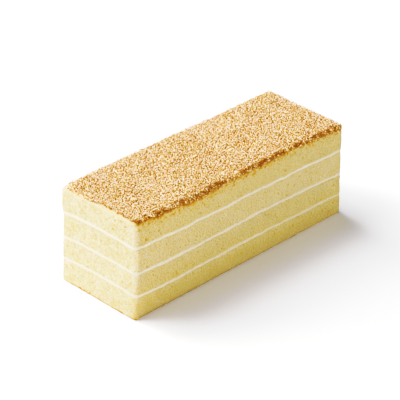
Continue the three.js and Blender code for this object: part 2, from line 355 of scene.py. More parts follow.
class Piece:
    """Points and triangles of one piece, with each triangle's place on its bake map."""

    MAP_SPAN = 190 * MM  # how much of the surface one side of the map takes
    SHARP_ANGLE = math.radians(60)

    def __init__(self):
        self.points = np.zeros((0, 3))
        self.triangles = []
        self.places = []
        self.values = {}

    def add_points(self, points, **values):
        """Adds points, with values for the shader, and returns their numbers."""
        first = len(self.points)
        flat = points.reshape(-1, 3)
        self.points = np.concatenate([self.points, flat])
        for name, value in values.items():
            spread = np.broadcast_to(value, points.shape[:-1]).reshape(-1)
            self.values.setdefault(name, []).append((first, spread))
        return (first + np.arange(len(flat))).reshape(points.shape[:-1])

    def add_triangles(self, numbers, places):
        """Adds triangles by their points' numbers, with their places on the map."""
        self.triangles.append(numbers.reshape(-1, 3))
        self.places.append(places.reshape(-1, 3, 2))

    def add_grid(self, numbers, places, turned=False):
        """Covers a grid of points with pairs of triangles."""
        rows, columns = numbers.shape
        for corners in (((0, 0), (0, 1), (1, 1)), ((0, 0), (1, 1), (1, 0))):
            cells = [
                (slice(row, rows - 1 + row), slice(column, columns - 1 + column))
                for row, column in (corners[::-1] if turned else corners)
            ]
            triangle = np.stack([numbers[cell] for cell in cells], axis=-1)
            place = np.stack([places[cell] for cell in cells], axis=-2)
            self.add_triangles(triangle, place)

    def add_band(self, numbers, outline, heights, map_corners):
        """Covers a closed band of rows round an outline, each side at its own map corner."""
        for side in range(4):
            columns = np.arange(outline.bounds[side], outline.bounds[side + 1] + 1)
            run = outline.run[columns] - outline.run[columns[0]]
            across, up = np.meshgrid(run, heights)
            places = (np.stack([across, up], axis=-1) + map_corners[side]) / self.MAP_SPAN
            self.add_grid(numbers[:, columns % len(outline.points)], places)

    def add_cap(self, rim, outline, step, surface, layout, faces_up, **values):
        """Closes the piece over its rim with a grid that follows a height. layout is the
        cap's place on the map: its middle and its scale."""
        margin = 2 * step
        half_x, half_y = np.abs(outline.points).max(axis=0) - margin
        columns = round(2 * half_x / step)
        rows = round(2 * half_y / step)
        x, y = np.meshgrid(np.linspace(-half_x, half_x, columns), np.linspace(-half_y, half_y, rows))
        grid = self.add_points(in_space(x, y, surface(x, y)), **values)
        middle, scale = layout

        def flat_places(numbers):
            return (self.points[numbers][..., :2] * scale + middle) / self.MAP_SPAN

        self.add_grid(grid, flat_places(grid), turned=not faces_up)
        sides = (grid[0, :-1], grid[:-1, -1], grid[-1, :0:-1], grid[:0:-1, 0])
        shares = [number + np.arange(len(side)) / len(side) for number, side in enumerate(sides)]
        ring = ring_triangles(rim, outline.shares(), np.concatenate(sides), np.concatenate(shares))
        ring = ring if faces_up else ring[:, ::-1]
        self.add_triangles(ring, flat_places(ring))

    def build(self, name, material, smooth=True):
        """Makes the piece's object, which rides on the cake's one body."""
        triangles = np.concatenate(self.triangles)
        places = np.concatenate(self.places)
        mesh = bpy.data.meshes.new(name)
        mesh.vertices.add(len(self.points))
        mesh.vertices.foreach_set("co", self.points.astype(np.float32).ravel())
        mesh.loops.add(triangles.size)
        mesh.loops.foreach_set("vertex_index", triangles.astype(np.int32).ravel())
        mesh.polygons.add(len(triangles))
        mesh.polygons.foreach_set("loop_start", np.arange(0, triangles.size, 3, dtype=np.int32))
        mesh.polygons.foreach_set("use_smooth", np.full(len(triangles), smooth))
        mesh.update(calc_edges=True)
        bake_map = mesh.uv_layers.new(name="OFBake")
        bake_map.data.foreach_set("uv", places.astype(np.float32).ravel())
        for value_name, parts in self.values.items():
            values = np.zeros(len(self.points), np.float32)
            for first, part in parts:
                values[first:first + len(part)] = part
            layer = mesh.attributes.new(value_name, "FLOAT", "POINT")
            layer.data.foreach_set("value", values)
        if smooth:
            mesh.set_sharp_from_angle(angle=self.SHARP_ANGLE)
        mesh.materials.append(material)
        piece = bpy.data.objects.new(name, mesh)
        bpy.context.scene.collection.objects.link(piece)
        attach(piece, BODY)
        return piece


def ring_triangles(outer, outer_shares, inner, inner_shares):
    """Fills the ring between two loops that start at the same corner, facing up."""
    triangles = []
    outer_next = np.append(outer_shares[1:], 4)
    inner_next = np.append(inner_shares[1:], 4)
    i = 0
    j = 0
    while i < len(outer) or j < len(inner):
        a = outer[i % len(outer)]
        b = inner[j % len(inner)]
        if j >= len(inner) or (i < len(outer) and outer_next[i] <= inner_next[j]):
            i += 1
            triangles.append((a, outer[i % len(outer)], b))
        else:
            j += 1
            triangles.append((a, inner[j % len(inner)], b))
    return np.array(triangles)


# Shader helpers, node groups and materials

MIX_INPUTS = (0, 6, 7)  # a colour mix node's sockets for its share and its two colours
MIX_RESULT = 2


class Nodes:
    """Adds nodes to a tree and joins them."""

    def __init__(self, tree):
        self.tree = tree

    def join(self, output, socket):
        self.tree.links.new(output, socket)

    def fill(self, socket, value):
        """Gives a socket a link, a number or a colour."""
        if isinstance(value, bpy.types.NodeSocket):
            self.join(value, socket)
        elif isinstance(value, float):
            socket.default_value = value
        else:
            socket.default_value = (*value, 1)

    def add(self, kind, inputs=(), **settings):
        """Adds a node with its settings, and fills its inputs."""
        node = self.tree.nodes.new(kind)
        for name, value in settings.items():
            setattr(node, name, value)
        for key, value in dict(inputs).items():
            self.fill(node.inputs[key], value)
        return node

    def maths(self, operation, first, second, clamp=False):
        inputs = {0: first, 1: second}
        return self.add("ShaderNodeMath", inputs, operation=operation, use_clamp=clamp).outputs[0]

    def product(self, first, second):
        return self.maths("MULTIPLY", first, second)

    def total(self, *values):
        """Adds values up, and keeps the sum from 0 to 1."""
        *others, last = values
        running = others[0]
        for value in others[1:]:
            running = self.maths("ADD", running, value)
        return self.maths("ADD", running, last, clamp=True)

    def mix(self, share, first, second):
        """Mixes two colours, from the first at a share of 0 to the second at 1."""
        inputs = zip(MIX_INPUTS, (share, first, second))
        return self.add("ShaderNodeMix", inputs, data_type="RGBA").outputs[MIX_RESULT]

    def value_of(self, name):
        """A value that the piece's points carry."""
        return self.add("ShaderNodeAttribute", attribute_name=name).outputs["Fac"]

    def spread(self, value, low, high, to_low=0.0, to_high=1.0):
        """Spreads a value's range from low to high over another range, and cuts off the rest."""
        inputs = {"Value": value, "From Min": low, "From Max": high}
        inputs.update({"To Min": to_low, "To Max": to_high})
        return self.add("ShaderNodeMapRange", inputs).outputs["Result"]

    def between(self, mask, to_low, to_high):
        """Turns a mask from 0 to 1 into values between two ends."""
        return self.spread(mask, 0.0, 1.0, to_low, to_high)

    def place(self, group_name, inputs):
        """Places a node group, made when it is first needed, with its own values."""
        group = bpy.data.node_groups.get(group_name) or GROUP_MAKERS[group_name](group_name)
        node = self.add("ShaderNodeGroup", node_tree=group)
        for name, value in inputs.items():
            self.fill(node.inputs[name], value)
        return node.outputs


def new_group(name, inputs, outputs):
    """An empty node group with named inputs and outputs, each with its kind of socket."""
    group = bpy.data.node_groups.new(name, "ShaderNodeTree")
    for direction, sockets in (("INPUT", inputs), ("OUTPUT", outputs)):
        for socket_name, kind in sockets.items():
            group.interface.new_socket(socket_name, in_out=direction, socket_type=kind)
    nodes = Nodes(group)
    return group, nodes, nodes.add("NodeGroupInput").outputs, nodes.add("NodeGroupOutput").inputs


NOISE_RANGE = (0.25, 0.75)  # most of a noise texture's values lie within these


def grain_group(name):
    """Fine grain and wide patches, as masks about 0.5, from their sizes in metres, and the
    grain's own warmth and wash, from -1 to 1."""
    inputs = {"Grain size": "NodeSocketFloat", "Patch size": "NodeSocketFloat"}
    outputs = dict.fromkeys(("Patches", "Grain", "Warmth", "Wash"), "NodeSocketFloat")
    group, nodes, given, result = new_group(name, inputs, outputs)
    place = nodes.add("ShaderNodeTexCoord").outputs["Object"]
    for size_name, mask_name, detail in (("Patch size", "Patches", 2.0), ("Grain size", "Grain", 3.0)):
        scale = nodes.maths("DIVIDE", 1.0, given[size_name])
        noise = nodes.add("ShaderNodeTexNoise", {"Vector": place, "Scale": scale, "Detail": detail})
        nodes.join(nodes.spread(noise.outputs["Fac"], *NOISE_RANGE), result[mask_name])
    hues = nodes.add("ShaderNodeSeparateColor", {"Color": noise.outputs["Color"]}).outputs
    nodes.join(nodes.spread(hues["Green"], *NOISE_RANGE, -1.0, 1.0), result["Warmth"])
    nodes.join(nodes.spread(hues["Blue"], *NOISE_RANGE, -1.0, 1.0), result["Wash"])
    return group


def pinhole_group(name):
    """Small round pinholes, from their spacing in metres: 1 inside a pinhole."""
    inputs = {"Spacing": "NodeSocketFloat", "Size": "NodeSocketFloat"}
    group, nodes, given, result = new_group(name, inputs, {"Holes": "NodeSocketFloat"})
    place = nodes.add("ShaderNodeTexCoord").outputs["Object"]
    scale = nodes.maths("DIVIDE", 1.0, given["Spacing"])
    cells = nodes.add("ShaderNodeTexVoronoi", {"Vector": place, "Scale": scale})
    inner = nodes.product(given["Size"], 0.5)
    nodes.join(nodes.spread(cells.outputs["Distance"], given["Size"], inner), result["Holes"])
    return group


GOLDEN_AMOUNTS = (0.08, 0.5)  # where the raw colour begins to turn golden and has turned
BROWN_AMOUNTS = (0.45, 1.0)


def browning_group(name):
    """Turns a raw colour golden and then brown as an amount rises from 0 to 1."""
    inputs = dict.fromkeys(("Raw", "Golden", "Brown"), "NodeSocketColor")
    inputs["Amount"] = "NodeSocketFloat"
    group, nodes, given, result = new_group(name, inputs, {"Color": "NodeSocketColor"})
    golden_share = nodes.spread(given["Amount"], *GOLDEN_AMOUNTS)
    golden = nodes.mix(golden_share, given["Raw"], given["Golden"])
    brown_share = nodes.spread(given["Amount"], *BROWN_AMOUNTS)
    nodes.join(nodes.mix(brown_share, golden, given["Brown"]), result["Color"])
    return group


# How a warmth of 1 and a wash of 1 change each part of a colour
HueShift = namedtuple("HueShift", "channel warm washed")
HUE_SHIFTS = (HueShift("Red", 0.05, -0.04), HueShift("Green", -0.05, -0.01), HueShift("Blue", -0.04, 0.12))


def own_hue_group(name):
    """Makes a colour redder as its warmth rises, and whiter as its wash does."""
    inputs = {"Color": "NodeSocketColor", "Warmth": "NodeSocketFloat", "Wash": "NodeSocketFloat"}
    group, nodes, given, result = new_group(name, inputs, {"Color": "NodeSocketColor"})
    parts = nodes.add("ShaderNodeSeparateColor", {"Color": given["Color"]}).outputs
    shifted = {}
    for shift in HUE_SHIFTS:
        warmth = nodes.product(given["Warmth"], shift.warm)
        wash = nodes.product(given["Wash"], shift.washed)
        factor = nodes.maths("ADD", nodes.maths("ADD", warmth, wash), 1.0)
        shifted[shift.channel] = nodes.maths("MULTIPLY", parts[shift.channel], factor, clamp=True)
    nodes.join(nodes.add("ShaderNodeCombineColor", shifted).outputs["Color"], result["Color"])
    return group


GROUP_MAKERS = {
    "Grain and patches": grain_group,
    "Pinholes": pinhole_group,
    "Browning": browning_group,
    "Own hue": own_hue_group,
}


def new_material(name, settings):
    """A material with a Principled shader, as its node helper and the shader's inputs."""
    material = bpy.data.materials.new(name)
    material.use_nodes = True
    shader = material.node_tree.nodes["Principled BSDF"]
    for socket, value in settings.items():
        shader.inputs[socket].default_value = value
    return material, Nodes(material.node_tree), shader.inputs


# How rough a surface is, from its smoothest to its roughest grain, how deep its small bumps
# are and how strongly they show
Relief = namedtuple("Relief", "roughness depth strength")


def dress(nodes, shader, colour, grain, height, relief):
    """Joins a colour, a roughness that follows the grain and small bumps to a shader."""
    bump_inputs = {"Height": height, "Distance": relief.depth, "Strength": relief.strength}
    bump = nodes.add("ShaderNodeBump", bump_inputs)
    nodes.join(colour, shader["Base Color"])
    nodes.join(nodes.between(grain, *relief.roughness), shader["Roughness"])
    nodes.join(bump.outputs["Normal"], shader["Normal"])


SPONGE_SOFTNESS = {
    "Subsurface Weight": 0.35,
    "Subsurface Radius": (1.0, 0.75, 0.35),
    "Subsurface Scale": 1.6 * MM,
    "Specular IOR Level": 0.25,
}
SPONGE_RELIEF = Relief((0.82, 0.96), 0.36 * MM, 0.9)
# How deep a tone the pores, the grain, the wide patches and the pinholes give the sponge:
# in the pores and the pinholes it is painted shade
PORE_SHADE_TONE = 0.9
GRAIN_TONE = (0.32, 0.84)
PATCH_TONE = (-0.08, 0.1)
PINHOLE_SHADE = 0.4
SMEAR_STRENGTH = 0.45  # of the cream smeared on the sponge
PORE_SHADE_TOAST = 0.25  # how much browner a pore makes the sponge, as painted shade
GRAIN_TOAST = (-0.1, 0.1)
SPONGE_WARMTH = 2.2  # how far the sponge's own hues spread
SPONGE_WASH = 2.6
GRAIN_BUMP = 0.6  # of the sponge's grain, beside pinholes of 1


def sponge_material(colours):
    """Pale porous sponge that turns to baked skin where its points say so."""
    material, nodes, shader = new_material("Sponge", SPONGE_SOFTNESS)
    grain = nodes.place("Grain and patches", {"Grain size": 0.7 * MM, "Patch size": 11 * MM})
    holes = nodes.place("Pinholes", {"Spacing": 0.95 * MM, "Size": 0.32})["Holes"]
    # Painted shade in the pores and pinholes, with the grain's and patches' own deeper tone
    deep = nodes.total(
        nodes.product(nodes.value_of("pore"), PORE_SHADE_TONE),
        nodes.between(grain["Grain"], *GRAIN_TONE),
        nodes.between(grain["Patches"], *PATCH_TONE),
        nodes.product(holes, PINHOLE_SHADE),
    )
    crumb = nodes.mix(deep, colours.sponge, colours.sponge_deep_and_pore_shade)
    crumb = nodes.mix(nodes.product(nodes.value_of("smear"), SMEAR_STRENGTH), crumb, colours.cream)
    # Painted contact shadow along the front just above the plate
    crumb = nodes.mix(nodes.value_of("contact_shadow"), crumb, colours.contact_shadow_colour)
    toast = nodes.total(
        nodes.value_of("toast"),
        nodes.product(nodes.value_of("pore"), PORE_SHADE_TOAST),
        nodes.between(grain["Grain"], *GRAIN_TOAST),
    )
    skin = {"Raw": crumb, "Golden": colours.skin_light, "Brown": colours.skin_dark, "Amount": toast}
    browned = nodes.place("Browning", skin)["Color"]
    hues = nodes.value_of("hues")
    warmth = nodes.product(grain["Warmth"], nodes.product(hues, SPONGE_WARMTH))
    wash = nodes.product(grain["Wash"], nodes.product(hues, SPONGE_WASH))
    wash = nodes.maths("SUBTRACT", wash, nodes.value_of("rich"))
    colour = nodes.place("Own hue", {"Color": browned, "Warmth": warmth, "Wash": wash})["Color"]
    height = nodes.maths("SUBTRACT", nodes.product(grain["Grain"], GRAIN_BUMP), holes)
    dress(nodes, shader, colour, grain["Grain"], height, SPONGE_RELIEF)
    return material


CREAM_SOFTNESS = {
    "Subsurface Weight": 0.4,
    "Subsurface Radius": (1.0, 0.8, 0.5),
    "Subsurface Scale": 1.2 * MM,
    "Specular IOR Level": 0.4,
}
CREAM_RELIEF = Relief((0.45, 0.62), 0.08 * MM, 0.4)
STREAK_START = 0.2  # patches above this are streaks of thinner cream
STREAK_THINNESS = 0.3


def cream_material(colours):
    """Smooth off-white cream with faint streaks."""
    material, nodes, shader = new_material("Cream", CREAM_SOFTNESS)
    grain = nodes.place("Grain and patches", {"Grain size": 0.8 * MM, "Patch size": 5 * MM})
    streaks = nodes.spread(grain["Patches"], STREAK_START, 1.0, 0.0, STREAK_THINNESS)
    thin = nodes.total(nodes.value_of("thin"), streaks)
    colour = nodes.mix(thin, colours.cream, colours.cream_deep)
    dress(nodes, shader, colour, grain["Grain"], grain["Grain"], CREAM_RELIEF)
    return material


CRUMB_RELIEF = Relief((0.6, 0.85), 0.08 * MM, 0.5)
CRUMB_GRAIN_TONE = (-0.22, 0.22)
CRUMB_PATCH_TONE = (-0.05, 0.05)


def crumb_material(name, sheen, colours):
    """Dry toasted crumb, browner where the crumb's own tone says so."""
    material, nodes, shader = new_material(name, {"Specular IOR Level": sheen})
    grain = nodes.place("Grain and patches", {"Grain size": 0.35 * MM, "Patch size": 14 * MM})
    shades = {
        "Raw": colours.crumb_pale,
        "Golden": colours.crumb_golden,
        "Brown": colours.crumb_brown,
        "Amount": nodes.total(
            nodes.value_of("tone"),
            nodes.between(grain["Grain"], *CRUMB_GRAIN_TONE),
            nodes.between(grain["Patches"], *CRUMB_PATCH_TONE),
        ),
    }
    browned = nodes.place("Browning", shades)["Color"]
    hue = {"Color": browned, "Warmth": nodes.value_of("warmth"), "Wash": nodes.value_of("wash")}
    colour = nodes.place("Own hue", hue)["Color"]
    dress(nodes, shader, colour, grain["Grain"], grain["Grain"], CRUMB_RELIEF)
    return material


# The sponge sheets

SHEET_YELLOWNESS = (-0.2, 0.1, 0.3, 0.45)  # how much yellower each sheet is than the mean
SHEET_PALENESS = (0, 0, 0.12, 0)  # how much paler each sheet is than the mean
PORE_STRETCH = (0.8, 1.3)  # how many times as long as high a common pore may be
SMALL_PORES = 3  # the power that makes more pores small than large


def common_pores(random, run_length, low, high, sizes):
    """Pores spread over an unrolled band, each as place, height, radius and stretch."""
    area = run_length * (high - low) / MM**2
    small, large = sizes.pore_radius
    pores = []
    for _ in range(round(area * sizes.pores_per_square_mm)):
        radius = small + (large - small) * random.random() ** SMALL_PORES
        stretch = PORE_STRETCH[0] + (PORE_STRETCH[1] - PORE_STRETCH[0]) * random.random()
        pores.append((random.random() * run_length, low + (high - low) * random.random(), radius, stretch))
    return pores


def seen_holes(outline):
    """The named air holes, as places along the unrolled band."""
    front_middle = (outline.run[outline.bounds[0]] + outline.run[outline.bounds[1]]) / 2
    left_middle = (outline.run[outline.bounds[3]] + outline.run[outline.bounds[4]]) / 2
    holes = [(front_middle + h.along, h.height, h.radius, h.stretch) for h in FRONT_HOLES]
    holes += [(left_middle - h.along, h.height, h.radius, h.stretch) for h in LEFT_HOLES]
    return holes


HOLLOW = 0.8  # how deep a pore is for its radius


def pore_depths(outline, z, pores):
    """How deep the pores go at each point of a band of rows."""
    run = outline.run[:-1]
    length = outline.run[-1]
    depth = np.zeros(z.shape)
    for place, height, radius, stretch in pores:
        reach = radius * stretch
        first = np.searchsorted(run, place - reach)
        last = np.searchsorted(run, place + reach)
        columns = np.arange(first, last)
        offset = run[columns % len(run)] - place
        offset = (offset + length / 2) % length - length / 2
        part = (offset / reach) ** 2 + ((z[:, columns % len(run)] - height) / radius) ** 2
        hollow = HOLLOW * radius * np.sqrt(np.clip(1 - part, 0, None))
        depth[:, columns % len(run)] = np.maximum(depth[:, columns % len(run)], hollow)
    return depth


CUT_WAVES = Wave(0.16 * MM, 13 * MM, 0)
CUT_CRUMBS = Wave(0.09 * MM, 2.1 * MM, 1)
CUT_GRAIN = Wave(0.1 * MM, 0.8 * MM, 2)
END_ROUGHNESS = 0.7  # how much rougher the ends are cut than the long sides
FULL_PORE = 0.7 * MM  # how deep a pore is where the shader takes it as full
CELL_SEED = 3


def cut_surface(outline, z, pores, seed):
    """How far each point of a cut face lies inside the plain outline, and how deep in a
    pore it is, from 0 to 1."""
    plain = in_space(outline.points[:, 0], outline.points[:, 1], z)
    depth = pore_depths(outline, z, pores) + cell_depths(plain, seed + CELL_SEED)
    rough = 1 + END_ROUGHNESS * np.abs(outline.facing[:, 0])
    fine = unevenness(plain, CUT_CRUMBS, seed) + unevenness(plain, CUT_GRAIN, seed)
    inside = unevenness(plain, CUT_WAVES, seed) + rough * fine + depth
    return inside, np.clip(depth / FULL_PORE, 0, 1)


# The sponge's own fine cells: one in each small cube of space, somewhere near its middle
CELL_CUBE = 1.15 * MM
CELL_DEPTH = 0.3 * MM
CELL_WANDER = 0.42  # in cubes
CELL_RADIUS = 0.42
CELL_RADIUS_SPREAD = 0.2
CELL_RADIUS_SEED = 3  # after the seeds of the three axes
FAR = 9.0  # in cubes, farther than any cell that is looked at


def cell_depths(points, seed):
    """How deep the fine cells go at points in space: each takes its nearest cell."""
    scaled = points / CELL_CUBE
    base = np.floor(scaled)
    nearest = np.full(points.shape[:-1], FAR)
    radius = np.zeros(points.shape[:-1])
    for step in np.ndindex(3, 3, 3):
        cube = base + np.array(step) - 1
        middle = [0.5 + CELL_WANDER * lattice_values(cube, seed + axis) for axis in range(3)]
        gap = np.linalg.norm(scaled - cube - np.stack(middle, axis=-1), axis=-1)
        nearer = gap < nearest
        nearest = np.where(nearer, gap, nearest)
        own_radius = CELL_RADIUS + CELL_RADIUS_SPREAD * lattice_values(cube, seed + CELL_RADIUS_SEED)
        radius = np.where(nearer, own_radius, radius)
    return CELL_DEPTH * np.clip(1 - (nearest / radius) ** 2, 0, None)


def cut_points(outline, z, inside):
    """Points of a cut face, moved inwards and kept within the frame's own reach."""
    points = on_outline(*outline.points.T, z)
    points[..., :2] -= inside[..., None] * outline.facing
    reach = np.array([BASE_HIGH.x, BASE_HIGH.y]) - CLEARANCE
    points[..., :2] = np.clip(points[..., :2], -reach, reach)
    return points


def side_outline(sizes):
    """The plain outline of the cut faces, at the step of their mesh."""
    long_steps = round((LENGTH - 2 * CORNER_RADIUS) / sizes.mesh_step)
    short_steps = round((WIDTH - 2 * CORNER_RADIUS) / sizes.mesh_step)
    return Outline(LENGTH / 2, WIDTH / 2, long_steps, short_steps)


MAP_GAP = 1 * MM  # between the parts of a piece on its map
HALF_CAP = 33 * MM  # a little more than half of a cap's width
LARGE_CAP_X = LENGTH / 2 + 4 * MAP_GAP  # where the middles of a large and a small cap lie
SMALL_CAP_X = LENGTH / 6
SMALL_CAP_RISE = 2.3 * HALF_CAP
SMALL_CAP_SCALE = 0.2


def map_corners(band_height):
    """Where the four sides of a band lie on the map: the long ones in rows of their own,
    and the short ones side by side. Also where the rows end."""
    row = band_height + MAP_GAP
    short_row = MAP_GAP + 2 * row
    middle = Piece.MAP_SPAN / 2
    corners = ((MAP_GAP, MAP_GAP), (MAP_GAP, short_row), (MAP_GAP, MAP_GAP + row), (middle, short_row))
    return [np.array(corner) for corner in corners], short_row + row


def cap_layouts(bottom_edge):
    """Places of a large and a small cap above the sides on the map."""
    large = (np.array([LARGE_CAP_X, bottom_edge + HALF_CAP]), 1.0)
    small = (np.array([SMALL_CAP_X, bottom_edge + SMALL_CAP_RISE]), SMALL_CAP_SCALE)
    return large, small


BASE_EDGE_ROWS = np.array([0, 0.04, 0.15, 0.3, 0.55])  # rows round the base edge, as shares of it
SEAM_STEP = 8 * MM  # mesh steps of the faces between sheets, of the underside and of the skin
UNDERSIDE_STEP = 2.2 * MM
SKIN_STEP = 1.5 * MM
CAP_TOAST = 0.9
BASE_RIM_TOAST = 1.0
PORE_SEED = 100  # the seeds of a sheet's pores and of its cut face, which go up with its number
CUT_SEED = 5
CUT_SEED_STEP = 20


def sponge_sheet(number, sizes, material):
    """One sheet of sponge, from 0 at the bottom to 3 under the crumbs."""
    outline = side_outline(sizes)
    x, y = outline.points.T
    is_base = number == 0
    is_top = number == len(CREAM_LINES)
    lower = np.zeros(len(x)) if is_base else cut_edge(number - 1, 1, x, y)
    upper = HEIGHT - TOP_EDGE_RADIUS - droop(x, y) if is_top else cut_edge(number, -1, x, y)
    height = (upper - lower).mean()
    steps = round(height / sizes.mesh_step)
    rise = np.arange(steps + 1) / steps
    if is_base:
        edge_share = BASE_EDGE / height
        rise = np.concatenate([BASE_EDGE_ROWS * edge_share, rise[rise > edge_share]])
    z = lower + rise[:, None] * (upper - lower)

    random = np.random.default_rng(PORE_SEED + number)
    pores = common_pores(random, outline.run[-1], lower.mean(), upper.mean(), sizes)
    pores += [hole for hole in seen_holes(outline) if lower.mean() < hole[1] < upper.mean()]
    inside, pore = cut_surface(outline, z, pores, CUT_SEED + CUT_SEED_STEP * number)
    if is_base:
        edge = np.clip(1 - z / BASE_EDGE, 0, 1)
        inside = inside + BASE_EDGE * (1 - np.sqrt(1 - edge**2))
    seams = [lower] * (not is_base) + [upper] * (not is_top)
    tones = sponge_tones(number, outline, in_space(x, y, z), pore, seams)

    piece = Piece()
    band = piece.add_points(cut_points(outline, z, inside), **tones)
    heights = rise * height
    if is_top:
        band, heights = add_top_edge(piece, band, heights, outline, inside[-1])
    corners, caps_from = map_corners(heights[-1])
    piece.add_band(band, outline, heights, corners)
    large, small = cap_layouts(caps_from)
    rim = piece.add_points(piece.points[band[0]], toast=BASE_RIM_TOAST * is_base)
    if is_base:
        piece.add_cap(rim, outline, UNDERSIDE_STEP, underside, large, False, toast=CAP_TOAST)
    else:
        piece.add_cap(rim, outline, SEAM_STEP, partial(cream_face, number - 1, 1), small, False)
    if is_top:
        piece.add_cap(band[-1], outline, SKIN_STEP, crumb_bed, large, True, toast=CAP_TOAST)
    else:
        rim = piece.add_points(piece.points[band[-1]])
        layout = small if is_base else large
        piece.add_cap(rim, outline, SEAM_STEP, partial(cream_face, number, -1), layout, True)
    sheet = piece.build(f"sponge_sheet_{number + 1}", material)
    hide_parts(f"sponge_layer_{number + 1}")
    return sheet


END_GRAIN = Wave(0.55, 0.8 * MM, 68)  # of tone, on the ends
END_CLUMPS = Wave(0.25, 1.7 * MM, 69)
END_HUES = 0.8  # how much more the hues spread on the ends
FRONT_DEPTH = 0.08  # how much deeper in tone the front is, and how much that falls to the right
FRONT_FALL = 0.1
CORNER_HIGHLIGHT_STRENGTH = 0.5  # painted highlight: how much paler the front is beside the near corner
CORNER_HIGHLIGHT_REACH = (5 * MM, 1 * MM)
CORNER_HIGHLIGHT_HEIGHT = (5 * MM, 30 * MM)
LOWER_HALF = (32 * MM, 12 * MM)  # painted shade: where the front grows yellower, down to its foot
FOOT = (9 * MM, 3 * MM)
LOWER_SHADE_YELLOWNESS = 0.9
FOOT_SHADE = 0.3  # painted shade: how much deeper in tone the lowest sheet's foot is
FOOT_SHADE_REACH = (15 * MM, 1 * MM)


def sponge_tones(number, outline, places, pore, seams):
    """Values for the shader at the points of a sheet's cut faces: how deep in a pore, how
    toasted and smeared, how deep its painted contact shadow is, how far its hues spread and how
    yellow it is. Painted shade darkens the pores and the front's foot, a painted highlight pales
    the front beside the near corner, and painted shade yellows the front's lower half."""
    x = outline.points[:, 0]
    z = places[..., 2]
    at_ends = np.abs(outline.facing[:, 0])
    front = np.clip(-outline.facing[:, 1], 0, 1)
    pore = pore + at_ends * (unevenness(places, END_GRAIN) + unevenness(places, END_CLUMPS))
    pore = pore + front * (FRONT_DEPTH - FRONT_FALL * x / LENGTH - SHEET_PALENESS[number])
    # Painted highlight on the front beside the near corner, where its rounded edge catches light
    corner_highlight = smoothstep(*CORNER_HIGHLIGHT_REACH, x + LENGTH / 2) * smoothstep(*CORNER_HIGHLIGHT_HEIGHT, z)
    lower_shade = smoothstep(*LOWER_HALF, z) - smoothstep(*FOOT, z)
    tones = {
        "pore": pore - CORNER_HIGHLIGHT_STRENGTH * front * corner_highlight,
        "toast": 0,
        "smear": smeared_cream(places, seams),
        "contact_shadow": 0,
        "hues": 1 + END_HUES * at_ends,
        # The lower front's added yellow is painted shade
        "rich": front * (SHEET_YELLOWNESS[number] + LOWER_SHADE_YELLOWNESS * lower_shade),
    }
    if number == 0:
        # Painted shade on the front towards the plate
        tones["pore"] += FOOT_SHADE * front * smoothstep(*FOOT_SHADE_REACH, z)
        # Painted contact shadow just above the plate
        tones["contact_shadow"] = contact_shadow_line(x, front, places)
        tones["toast"] = base_toast(outline, front, places)
    if number == len(CREAM_LINES):
        tones["toast"] = skin_toast_and_shade(outline, places)
    return tones


# A painted contact shadow along the front's foot
CONTACT_SHADOW_WANDER = Wave(0.4 * MM, 3 * MM, 67)
CONTACT_SHADOW_TOP = 2.4  # height of the painted contact shadow in millimetres, and how much it falls to the right
CONTACT_SHADOW_FALL = 1.4
CONTACT_SHADOW_FULL = 0.5 * MM
CONTACT_SHADOW_STRENGTH = 0.95
CONTACT_SHADOW_FADE = 0.9


def contact_shadow_line(x, front, places):
    """How much painted contact shadow darkens the front just above the plate: most at its left."""
    top = (CONTACT_SHADOW_TOP - CONTACT_SHADOW_FALL * x / LENGTH) * MM
    line = smoothstep(top, CONTACT_SHADOW_FULL, places[..., 2] + unevenness(places, CONTACT_SHADOW_WANDER))
    return line * front * np.clip(CONTACT_SHADOW_STRENGTH - CONTACT_SHADOW_FADE * x / LENGTH, 0, 1)


BASE_SPOTS = Wave(1.0, 1.6 * MM, 65)
BASE_SPOTS_FROM = 0.3  # noise above this is a spot
BASE_TOAST = 0.85
BASE_TOAST_PATCHES = Wave(0.25, 9 * MM, 61)
BASE_TOAST_WANDER = Wave(0.5 * MM, 2 * MM, 62)
BASE_TOAST_REACH = (2.0 * MM, 0.3 * MM)
SPOT_HEIGHT = 1.2 * MM  # how much higher the crust comes at a spot
FRONT_TOAST_LOSS = 0.9  # how much less the crust shows on the front
CORNER_TOAST = 0.5
CORNER_TOAST_REACH = (6 * MM, 1 * MM)


def base_toast(outline, front, places):
    """How brown the crust along the base is: most on the ends and at the near corner."""
    x, y = outline.points.T
    spots = np.clip(unevenness(places, BASE_SPOTS) - BASE_SPOTS_FROM, 0, None)
    near_corner = np.hypot(x + LENGTH / 2, y + WIDTH / 2)
    strength = BASE_TOAST + unevenness(places, BASE_TOAST_PATCHES) + spots
    strength = (1 - FRONT_TOAST_LOSS * front) * strength
    strength = strength + CORNER_TOAST * smoothstep(*CORNER_TOAST_REACH, near_corner)
    wander = unevenness(places, BASE_TOAST_WANDER)
    return strength * smoothstep(*BASE_TOAST_REACH, places[..., 2] - SPOT_HEIGHT * spots + wander)


SMEAR_PATCHES = Wave(0.45, 1.6 * MM, 66)
SMEAR_MEAN = 0.55
SMEAR_REACH = 0.7 * MM


def smeared_cream(places, seams):
    """How much cream the knife has smeared on a cut face beside its seams, from 0 to 1."""
    smear = np.zeros(places.shape[:-1])
    for seam in seams:
        smear = np.maximum(smear, smoothstep(SMEAR_REACH, 0, np.abs(places[..., 2] - seam)))
    return smear * (SMEAR_MEAN + unevenness(places, SMEAR_PATCHES))


UNDERSIDE_PITS = Wave(0.12 * MM, 4 * MM, 71)
CRUMB_BED_DROP = 0.8 * MM  # how far the browned skin lies under the top's mean level
BED_BUMPS = Wave(1.0, 3 * MM, 81)
BED_SMALL_BUMPS = Wave(0.6, 1.6 * MM, 82)
BED_BUMP_HEIGHT = 0.12 * MM
ROUNDED_EDGE_BUMPS = Wave(0.12 * MM, 1.6 * MM, 83)
ROUNDED_EDGE_STEPS = 6


